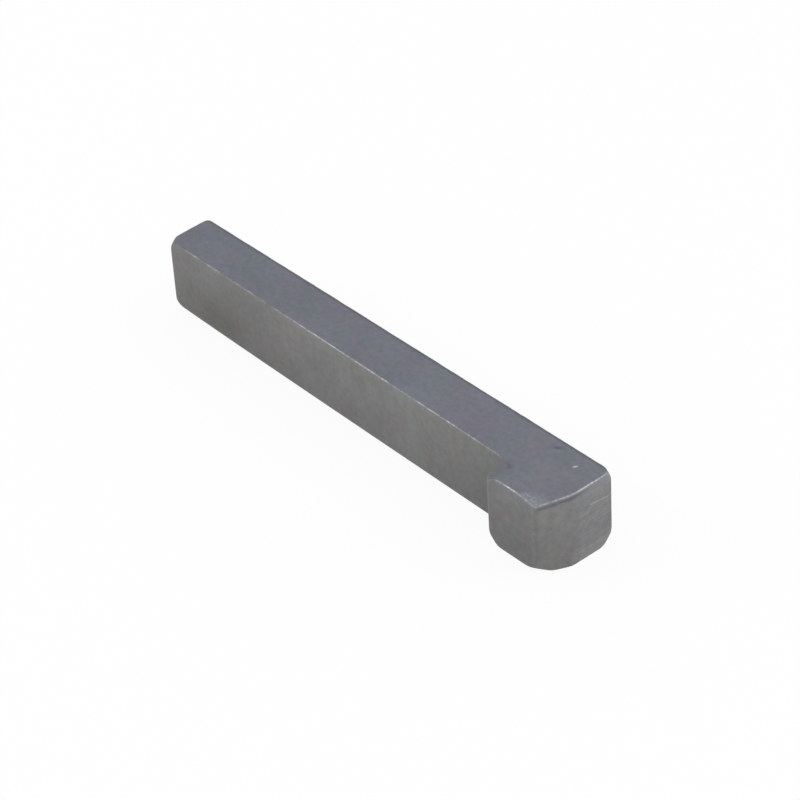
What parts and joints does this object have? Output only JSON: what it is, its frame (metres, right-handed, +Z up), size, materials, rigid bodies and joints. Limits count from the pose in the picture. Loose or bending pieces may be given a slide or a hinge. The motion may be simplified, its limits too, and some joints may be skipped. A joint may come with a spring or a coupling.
{
  "type": "gib head key",
  "caption": "Tapered steel key with a hooked head, which locks a wheel or pulley to a shaft and can be pulled out again.",
  "frame": {"origin": "centre of the L-shaped side that the key lies on, midway along and across the whole key", "axes": "+X along the key from its thin end to its head, +Y out of the flat keyseat face, +Z up across the key's width"},
  "size_m": [0.0816, 0.0116, 0.012],
  "materials": {
    "steel": "ground and dulled, slightly worn"
  },
  "bodies": {
    "root": {"gib_head_key": "steel"}
  },
  "joints": []
}
